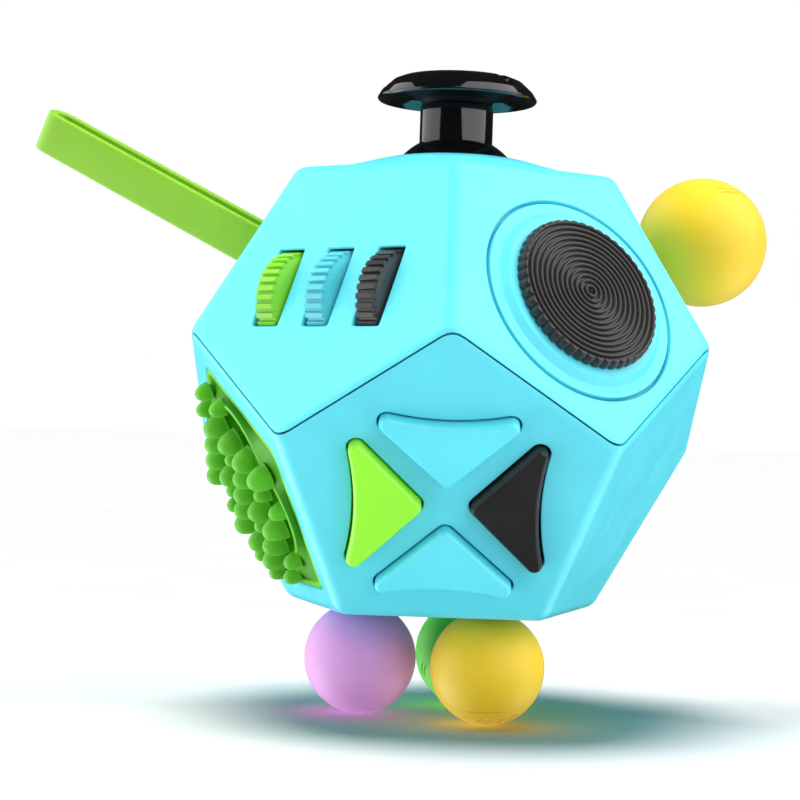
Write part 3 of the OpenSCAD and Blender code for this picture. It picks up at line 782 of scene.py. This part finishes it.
def make_joystick():
    cap = rounded([(0, 0.6), (6.2, 0.6), (7.4, 0.75, 1.5), (8.6, 0.05, 1), (9.5, -0.5, 0.2),
                   (CAP_R, -0.15, 0.2), (9.2, 0.75, 0.8), (7.9, 1.95, 0.5), (6.9, 2.35, 0.3),
                   (5.6, 2.42, 0.6), (4.4, 1.85, 1.2), (0, 1.6)], 0.3, 5, closed=False)
    settle(lathe("cap", cap, 288, cap_notch), "thumb_cap", "joystick", stick_black, at(0, 0, CAP_Z),
           ["joystick_cap"])
    # The neck under the cap wears the dull near-black, painted shade.
    neck = rounded([(0, -1), (4.15, -0.95), (4.5, -0.3, 0.5), (6.5, 0.68), (0, 0.75)], 0.1, 5, closed=False)
    settle(lathe("neck", neck, 128), "thumb_neck", "joystick", neck_black_painted_shade, at(0, 0, CAP_Z))
    foot = PIVOT_Z + math.sqrt(DOME_R**2 - STEM_R**2) - CAP_Z
    stem = rounded([(0, foot - 0.8), (STEM_R, foot - 0.8), (STEM_R, -0.95, 0.3), (3.9, -0.85, 0.2), (3.9, 0),
                    (0, 0)], 0.1, 5, closed=False)
    shaft = pushed(bar(2.4, PIVOT_Z - 5, CAP_Z + foot - 0.8), at(0, 0, -CAP_Z))
    settle(joined("stem", [lathe("stem", stem, 128), shaft]), "thumb_stem", "joystick", stick_black,
           at(0, 0, CAP_Z), ["joystick_stem"])
    angles = [math.radians(30 + 42 * k / 16) for k in range(17)]
    outside = [(DOME_R * math.sin(a), DOME_R * math.cos(a)) for a in angles]
    inner_r = DOME_R - 1.1
    inside = [(inner_r * math.sin(a), inner_r * math.cos(a)) for a in reversed(angles)]
    settle(lathe("dome", outside + inside, 128), "stick_dome", "joystick", stick_black, at(0, 0, PIVOT_Z),
           ["joystick_dome"])


make_joystick()

# ---------- gear wheels ----------


def make_wheel(k, colour, material):
    """A ribbed wheel. Flat ribs stand between narrow grooves, and both rims are chamfered."""
    groove = 0.42
    rib = [(0.02, groove), (0.34, groove), (0.39, 0.07), (0.45, 0), (0.91, 0), (0.97, 0.07)]
    turns = [((i + share) / GEAR_RIBS * 2 * math.pi, drop) for i in range(GEAR_RIBS) for share, drop in rib]
    half = GEAR_W / 2
    bore = 1.05

    def ring(x, radius, ribs):
        return [(x, (radius - drop * ribs) * math.cos(a), (radius - drop * ribs) * math.sin(a))
                for a, drop in turns]

    rings = [ring(-half, bore, 0)]
    for side in (-1, 1):
        rims = [ring(side * half, 3.4, 0), ring(side * half, GEAR_R - 1.3, 0),
                ring(side * (half - 0.1), GEAR_R - 0.8, 0), ring(side * (half - 0.26), GEAR_R - 0.44, 0),
                ring(side * (half - 0.3), GEAR_R - 0.05, 1), ring(side * (half - 0.38), GEAR_R, 1)]
        rings += rims if side < 0 else rims[::-1]
    rings.append(ring(half, bore, 0))
    x, y, z = GEAR_PLACE
    settle(loft("wheel", rings, closed=True), f"thumb_wheel_{colour}", f"gear_{colour}", material,
           upper(GEAR_AZ, x + (k - 1) * GEAR_PITCH, y, z), [f"gear_wheel_{colour}"], 28)


# The green and cyan wheels wear the darker copies, painted shade.
make_wheel(0, "green", wheel_lime_painted_shade)
make_wheel(1, "cyan", wheel_cyan_painted_shade)
make_wheel(2, "black", knurled)

# ---------- dial ----------


def dial_edge(a, r, z):
    """Small round lobes around the rim of the disc."""
    if r > DIAL_R - 0.6 and z > 0:
        lobe = abs(math.sin(a * SCALLOPS / 2)) ** 0.6
        r -= 0.32 * (1 - lobe) * min(1, (r - DIAL_R + 0.6) / 0.3)
    return r, z


def make_dial():
    top = []
    ridge = ((0, 0), (0.14, 0.03), (0.24, 0.14), (0.32, 0.45), (0.68, 0.45), (0.76, 0.14), (0.86, 0.03))
    for k in range(RIDGES):
        top += [(GROOVE_PITCH * (k + share), DIAL_TOP - drop) for share, drop in ridge]
    top.append((GROOVE_PITCH * RIDGES, DIAL_TOP))
    rim = [(DIAL_R - 0.45, DIAL_TOP), (DIAL_R - 0.32, DIAL_TOP - 0.05), (DIAL_R - 0.2, DIAL_TOP - 0.2),
           (DIAL_R - 0.08, DIAL_TOP - 0.5), (DIAL_R, DIAL_BASE + 0.3), (DIAL_R - 0.04, DIAL_BASE + 0.1),
           (DIAL_R - 0.2, DIAL_BASE), (0, DIAL_BASE)]
    profile = (top + rim)[::-1]
    place = upper(DIAL_AZ, DIAL_X, DIAL_Y)
    settle(lathe("disc", profile, SCALLOPS * 5, dial_edge), "dial_knob", "dial", knurled, place,
           ["dial_disc"], 50)
    bezel = rounded([(1.6, -3.4), (BEZEL_BODY, -3.4), (BEZEL_BODY, -1), (BEZEL_R - 0.3, -1),
                     (BEZEL_R - 0.3, 0, 0.15), (DIAL_R + 1.7, 0, 0.2), (DIAL_R + 0.9, DIAL_BOSS, 0.2),
                     (1.6, DIAL_BOSS)], 0.1, 5)
    settle(lathe("bezel", bezel, 160), "dial_ring", "case", case_cyan, place, ["dial_bezel"])


make_dial()

# ---------- direction pad ----------


def make_buttons():
    outline = key_outline()
    looks = (("up", key_cyan, "key_cyan"), ("left", lime, "lime_plastic"), ("down", key_cyan, "key_cyan"),
             ("right", black, "black_plastic"))
    for k, (way, material, slot) in enumerate(looks):
        cap = slab(outline, -2, KEY_RISE, 0.6, 6)
        flange = slab(grown(outline, KEY_FLANGE), -3, -2, 0.05, 1)
        stem = pushed(bar(2.1, -4.6, -3), at(0, KEY_STEM, 0))
        settle(joined("button", [cap, flange, stem]), f"key_{way}", f"button_{way}", material, key_place(k),
               [f"button_{way}"], 30, True)


make_buttons()

# ---------- spike pad ----------


def spike_places():
    """Columns on a triangular grid inside the window, large and small in turn."""
    out = []
    for col in range(-3, 4):
        for row in range(-3, 4):
            x = col * SPIKE_COLUMN
            y = (row + col % 2 / 2) * SPIKE_PITCH
            sides = [math.radians(126 + 72 * k) for k in range(5)]
            room = min(WINDOW - x * math.cos(a) - y * math.sin(a) for a in sides) - FRAME_T
            small = room < BIG_SPIKE[0] or (col % 2 == 0 and (row + col // 2) % 2 != 0)
            if room > SMALL_SPIKE[0]:
                out.append((x, y, SMALL_SPIKE if small else BIG_SPIKE))
    return out


def spike(radius, height):
    """A bullet-shaped head with a thin skirt, on a narrower stalk."""
    neck = radius * 0.58
    skirt = height - 1.65 * radius
    crown = skirt + 0.14
    profile = [(0, -FRAME_BACK - 0.3), (neck + 0.3, -FRAME_BACK - 0.3), (neck + 0.1, -FRAME_BACK + 0.4),
               (neck, skirt - 0.25), (neck + 0.12, skirt + 0.04), (radius * 0.96, skirt - 0.06),
               (radius, skirt + 0.03), (radius * 0.97, skirt + 0.12)]
    for k in range(1, 15):
        a = math.pi / 2 * k / 14
        profile.append((radius * 0.95 * math.cos(a) ** 0.92, crown + (height - crown) * math.sin(a)))
    profile[-1] = (0, height)
    return lathe("spike", profile, 36)


def lobed(grow, count=200):
    """Five bowed arcs, one along each side of the window, that meet inside its corners."""
    out = []
    for i in range(count):
        a = 2 * math.pi * i / count
        r = BOWL_R + BOWL_BOW * abs(math.cos(2.5 * (a - math.radians(54)))) + grow
        out.append(Vector((r * math.cos(a), r * math.sin(a))))
    return out


def make_spikes():
    place = lower(SPIKE_AZ, 0, WINDOW_Y)

    def window(grow, z):
        return level(soft_pentagon(WINDOW + grow, WINDOW_SHARP), z)

    def lip(grow, z):
        return level(lobed(grow), z)

    sheet = slab(soft_pentagon(WINDOW + 0.7, WINDOW_SHARP), -FRAME_BACK - 0.8, -FRAME_BACK, 0.1, 1)
    spikes = [pushed(spike(*size), at(x, y, 0)) for x, y, size in spike_places()]
    settle(joined("spikes", [sheet, *spikes]), "spike_cushion", "case", spike_green, place, ["spike_pad"],
           40)
    inner = FRAME_T + 0.04
    # The liner wears the darker lime, painted shade.
    liner = [window(-0.1, -FRAME_BACK), window(-0.1, -0.25), window(-0.16, -0.1), window(-0.34, -0.02),
             window(-0.68, -0.06), window(-inner, -0.25), window(-inner, -FRAME_BACK)]
    settle(loft("liner", liner, closed=True), "spike_liner", "case", frame_lime, place, ["spike_frame"])
    # The slope into the window wears the darker green, painted shade.
    bowl = [window(-inner, -FRAME_BACK), window(-inner, -0.22), lip(0.2, 0.74), lip(-0.3, 0.74), lip(-0.5, 0),
            lip(-0.6, -FRAME_BACK)]
    settle(loft("bowl", bowl, closed=True), "spike_bowl", "case", bowl_green_painted_shade, place)
    # The lip's bead wears the liner's lime instead of the bowl's green: a painted highlight line along the
    # lip.
    bead = [lip(0.1, 0.72), lip(0.02, 0.84), lip(-0.08, 0.9), lip(-0.2, 0.88), lip(-0.28, 0.76),
            lip(-0.3, 0.66)]
    settle(loft("bead", bead, closed=True), "spike_bead", "case", frame_lime, place)


make_spikes()

# ---------- balls ----------


def groove(radius, az, el, reach, start, sweep, wire=0.17):
    """A cutter along part of the circle that lies reach degrees around a point of a ball."""
    steps, sides = 40, 8
    ring_r = radius * math.sin(math.radians(reach))
    height = radius * math.cos(math.radians(reach))
    turns = [2 * math.pi * s / sides for s in range(sides)]
    rings = []
    for k in range(steps + 1):
        a = math.radians(start + sweep * k / steps)
        thin = wire * max(0.25, math.sin(math.pi * k / steps)) ** 0.35
        out = Vector((math.cos(a), math.sin(a), 0))
        middle = out * ring_r + UP * height
        normal = middle.normalized()
        across = (UP * ring_r - out * height).normalized()
        rings.append([middle + (normal * math.cos(b) + across * math.sin(b)) * thin for b in turns])
    return pushed(loft("groove", rings), turned(az, el))


def round_normals(obj, centre, radius):
    """Gives the untouched skin of a ball its true normals, in metres."""
    mesh = obj.data
    on_skin = [abs((v.co - centre).length - radius) < 2e-6 for v in mesh.vertices]
    mesh.calc_loop_triangles()
    normals = []
    for polygon in mesh.polygons:
        skin = all(on_skin[i] for i in polygon.vertices)
        for i in polygon.loop_indices:
            vertex = mesh.vertices[mesh.loops[i].vertex_index]
            outward = (vertex.co - centre).normalized()
            normals.append(outward if skin else Vector(mesh.corner_normals[i].vector))
    mesh.normals_split_custom_set(normals)


def make_ball(name, body, material, place, replaced, radius, grooves, extra=()):
    obj = fuse(cut(ball(radius, 128), *[groove(radius, *g) for g in grooves]), *extra)
    settle(obj, name, body, material, place, [replaced], 40)
    round_normals(obj, place.translation * MM, radius * MM)


def make_balls():
    strokes = [(-121, -11.5, 50 + 8 * k, 7 * k - 84, 18, 0.26) for k in range(4)]
    grooves = {
        "pink": [(-90, -90, 31, 18, 24), (-90, -90, 31, 52, 24), (120, -20, 30, 0, 300)],
        "yellow": [(-90, -90, 46, 0, 133), *strokes, (100, -20, 30, 0, 300)],
        "green": [(-130, -30, 22, 118, 55), (-130, -30, 27, 122, 50), (60, -20, 30, 0, 300)],
    }
    looks = {"pink": pink, "yellow": yellow, "green": green}
    for colour, az in zip(looks, foot_az()):
        make_ball(f"roller_{colour}", f"foot_{colour}", looks[colour], around(az, FOOT_RING, FOOT_R),
                  f"foot_ball_{colour}", FOOT_R, grooves[colour])
    centre = upper(SIDE_AZ, 0, SIDE_Y, SIDE_RISE).translation
    profile = rounded([(0, 0), (3, 0), (3, SIDE_RISE - 7, 0.8), (4.2, SIDE_RISE - 6), (0, SIDE_RISE - 6)],
                      0.1, 5, closed=False)
    neck = pushed(lathe("neck", profile, 64), at(*-centre) @ upper(SIDE_AZ, 0, SIDE_Y, 1.7))
    side_grooves = [(-60, 16.6, 37, -60, 172), (-60, 16.6, 31, 70, 40), (18, 26, 22, 0, 360)]
    make_ball("side_roller", "side_ball", yellow, at(*centre), "side_ball", SIDE_R,
              side_grooves, [neck])
    bush = rounded([(1.65, -2.8), (BUSH_R, -2.8), (BUSH_R, 0), (4.6, 0), (4.6, 1.4, 0.5), (1.65, 1.4, 0.2)],
                   0.05, 5)
    settle(lathe("bush", bush, 96), "side_bush", "case", case_cyan, upper(SIDE_AZ, 0, SIDE_Y),
           ["side_ball_bush"])


make_balls()

# ---------- strap ----------


def make_strap():
    """A flat rubber band, folded back at its end."""
    radius = STRAP_IN + STRAP_T / 2
    far = STRAP_REACH - STRAP_IN - STRAP_T
    strand, fold = 60, 24  # steps along each
    path = []
    for start, end, side in ((-STRAP_DEPTH, far, 0), (far, -STRAP_DEPTH, math.pi)):
        for k in range(strand + 1):
            path.append((Vector((radius * math.cos(side), start + (end - start) * k / strand)), side))
        for k in range(1, fold):
            a = side + math.pi * k / fold
            path.append((Vector((radius * math.cos(a), end + radius * math.sin(a))), a))
    section = rectangle(STRAP_T, STRAP_W, 0.28, 4)
    rings = []
    for p, a in path:
        out = Vector((math.cos(a), math.sin(a)))
        twist = Matrix.Rotation(math.radians(STRAP_TWIST) * min(1, max(0, p.y / 6)), 3, "Z")
        rings.append([twist @ Vector((p.x + out.x * s.x, s.y, p.y + out.y * s.x)) for s in section])
    obj = loft("strap", rings, closed=True)
    pushed(obj, Matrix.Scale(MM, 4) @ upper(STRAP_AZ, 0, STRAP_Y))
    obj.name = "wrist_strap"
    shade(obj, 40)
    obj.data.materials.append(strap_green)
    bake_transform(obj)
    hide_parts("strap_loop")


make_strap()

# ---------- switch and slider on the back ----------


def make_rocker():
    place = upper(ROCKER_AZ)
    x, y = ROCKER
    side = rounded([(-y / 2 + 0.6, -2), (-1.6, -2.8), (1.6, -2.8), (y / 2 - 0.6, -2), (y / 2 - 0.5, 2.4, 0.5),
                    (0, 1.4, 14), (-y / 2 + 0.5, 2.4, 0.5)], 0.3, 8)
    rings = []
    for along, inset in ((-x / 2, 0.3), (-x / 2 + 0.1, 0.1), (-x / 2 + 0.3, 0), (x / 2 - 0.3, 0),
                         (x / 2 - 0.1, 0.1), (x / 2, 0.3)):
        rings.append([(along, p.x, p.y) for p in grown(side, -inset)])
    settle(loft("rocker", rings), "rocker_switch", "rocker", black, place, ["rocker_key"],
           35, True)
    outer, inner = rectangle(*ROCKER_FRAME, 1.6, 6), rectangle(x + 0.6, y + 0.6, 0.5, 6)
    steps = [(outer, 0), (outer, 0.5), (grown(outer, -0.1), 0.72), (grown(outer, -0.35), 0.8),
             (grown(inner, 0.3), 0.8), (grown(inner, 0.08), 0.7), (inner, 0.5), (inner, -5.2),
             (grown(inner, 0.6), -5.2), (grown(inner, 0.6), 0)]
    settle(loft("surround", [level(line, z) for line, z in steps], closed=True), "rocker_surround", "case",
           case_cyan, place, ["rocker_frame"])


def make_slider():
    place = lower(SLIDER_AZ)
    outer, inner = pill(*SLIDER), pill(*SLIDER_SLOT)
    steps = [(grown(outer, -0.05), -2.4), (grown(outer, -0.05), -0.9), (grown(outer, -0.25), -0.65),
             (grown(outer, -0.6), -0.6), (grown(inner, 0.3), -0.6), (grown(inner, 0.08), -0.7),
             (inner, -0.9), (inner, -2.4)]
    settle(loft("track", [level(line, z) for line, z in steps], closed=True), "slider_bed", "case", black,
           place, ["slider_track"])
    r = SLIDER_KNOB / 2
    knob = rounded([(0, -0.3), (r, -0.3), (r, 2.2, 0.5), (r - 0.9, 2.1, 0.3), (0, 1.5)], 0.1, 5, closed=False)
    foot = slab(pill(SLIDER_SLOT[1] + 1.4, SLIDER_SLOT[1] - 0.4), -3.8, -0.3, 0.05, 1)
    settle(joined("knob", [lathe("knob", knob, 80), foot]), "slide_button", "slider", knob_yellow, place,
           ["slider_knob"])


make_rocker()
make_slider()

# ---------- fasteners and hidden pieces ----------


def make_screws():
    """Pan-head screws with a cross recess."""
    screws = []
    shank = FACE + POST_SPLIT + 6
    head = rounded([(0, 0), (SCREW_HEAD, 0), (SCREW_HEAD, 1.2, 0.5), (0, 1.35)], 0.1, 5, closed=False)
    for az in POST_AZ:
        place = around(az, POST_RING, CASE_Z - FACE + SCREW_SINK) @ Matrix.Rotation(math.pi, 4, "X")
        screw = fuse(lathe("head", head, 64), bar(0.9, -shank, 0.1))
        for turn in (0, math.pi / 2):
            tool = slab(rectangle(2.3, 0.5, 0.05, 1), 0.55, 2, 0.01, 1)
            cut(screw, pushed(tool, Matrix.Rotation(turn, 4, "Z")))
        screws.append(pushed(screw, place))
    settle(joined("screws", screws), "case_screws", "case", steel, replaces=["shell_screws"])


make_screws()

HIDDEN = {
    inner_grey: ["joystick_base", "gear_bracket", "button_back_plate", "spike_retainer"],
    rubber_white: ["button_mat"],
}


def dress_cad_nodes():
    """CAD nodes that stay: metal unless listed, with their edges broken."""
    special = {node: material for material, nodes in HIDDEN.items() for node in nodes}
    for name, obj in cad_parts.items():
        if obj.hide_render:
            continue
        obj.data.materials.clear()
        obj.data.materials.append(special.get(name, steel))
        edge = obj.modifiers.new("edges", "BEVEL")
        edge.width = 0.12 * MM
        edge.segments = 2
        edge.limit_method = "ANGLE"
        edge.angle_limit = math.radians(50)


dress_cad_nodes()

# ---------- floor, light and camera ----------


def floor():
    half = 6.0
    corners = [(-half, -half, 0), (half, -half, 0), (half, half, 0), (-half, half, 0)]
    obj = solid("floor", corners, [(0, 1, 2, 3)])
    n = Nodes("floor_paper")
    tone = n.mix(n.spread(n.noise(30, 3), 0, 1), (0.90, 0.90, 0.90), (0.93, 0.93, 0.93))
    obj.data.materials.append(n.set(Base_Color=tone, Roughness=0.9))
    obj.visible_glossy = False
    return obj


def spare(lamp, obj):
    """Keeps a lamp's light off one object, which doesn't block the light either."""
    group = bpy.data.collections.new(lamp.name + "_spares")
    group.objects.link(obj)
    group.collection_objects[0].light_linking.link_state = "EXCLUDE"
    lamp.light_linking.receiver_collection = group
    lamp.light_linking.blocker_collection = group


def panel(name, az, el, distance, width, height, radiance):
    """A softbox that faces the toy. az counts from the camera's side towards its right."""
    data = bpy.data.lights.new(name, "AREA")
    data.shape = "RECTANGLE"
    data.size = width
    data.size_y = height
    data.energy = radiance * math.pi * width * height
    obj = linked(name, data)
    aim = Vector((0, 0, 0.04))
    a, e = math.radians(az), math.radians(el)
    back = Vector((math.sin(a) * math.cos(e), -math.cos(a) * math.cos(e), math.sin(e)))
    obj.location = aim + back * distance
    obj.rotation_mode = "QUATERNION"
    obj.rotation_quaternion = back.to_track_quat("Z", "Y")
    return obj


def backdrop():
    """White where the camera looks past the toy, grey for the light it gives, and dark in reflections."""
    world = bpy.data.worlds.new("studio")
    bpy.context.scene.world = world
    world.use_nodes = True
    tree = world.node_tree
    dim = tree.nodes["Background"]
    dim.inputs["Color"].default_value = (1, 1, 1, 1)
    dim.inputs["Strength"].default_value = 0.07
    seen = tree.nodes.new("ShaderNodeBackground")
    seen.inputs["Color"].default_value = (1, 1, 1, 1)
    mirrored = tree.nodes.new("ShaderNodeBackground")
    mirrored.inputs["Strength"].default_value = 0.03
    rays = tree.nodes.new("ShaderNodeLightPath")
    shown = dim
    for ray, other in (("Is Glossy Ray", mirrored), ("Is Camera Ray", seen)):
        mix = tree.nodes.new("ShaderNodeMixShader")
        tree.links.new(rays.outputs[ray], mix.inputs[0])
        tree.links.new(shown.outputs[0], mix.inputs[1])
        tree.links.new(other.outputs[0], mix.inputs[2])
        shown = mix
    tree.links.new(shown.outputs[0], tree.nodes["World Output"].inputs["Surface"])
    bpy.context.scene.view_settings.view_transform = "Standard"


def light(paper):
    """Softboxes and low fills beside the toy, which spare the floor, and a wide soft light over it."""
    right = panel("right_softbox", 60, 34, 1.1, 2.2, 1.9, 2.1)
    left = panel("left_softbox", -95, 6, 1.1, 1.9, 2.3, 1.7)
    low_right = panel("low_right_fill", 95, -38, 1.0, 0.9, 0.7, 1.6)
    low_left = panel("low_left_fill", -105, -38, 1.0, 0.9, 0.7, 2.2)
    for side in (right, left, low_right, low_left):
        spare(side, paper)
    data = bpy.data.lights.new("overhead", "SUN")
    data.energy = 3.5
    data.angle = math.radians(30)
    sun = linked("overhead", data)
    sun.rotation_euler = (0, math.radians(-5), 0)
    sun.visible_glossy = False


def camera():
    """A long lens, almost level, a little below the middle of the case."""
    az, el, roll = (math.radians(x) for x in (0.62, -0.75, 1.915))
    back = Vector((math.sin(az) * math.cos(el), -math.cos(az) * math.cos(el), math.sin(el)))
    right = UP.cross(back).normalized()
    top = back.cross(right)
    data = bpy.data.cameras.new("camera")
    data.sensor_width = 36
    data.lens = 95.5
    data.clip_start = 0.01
    obj = linked("camera", data)
    x = right * math.cos(roll) + top * math.sin(roll)
    y = top * math.cos(roll) - right * math.sin(roll)
    turn = Matrix((x, y, back)).transposed().to_4x4()
    place = Vector((-0.126, -11.0, -0.195)) * EDGE + UP * CASE_Z
    obj.matrix_world = Matrix.Translation(place * MM) @ turn
    bpy.context.scene.camera = obj


light(floor())
backdrop()
camera()
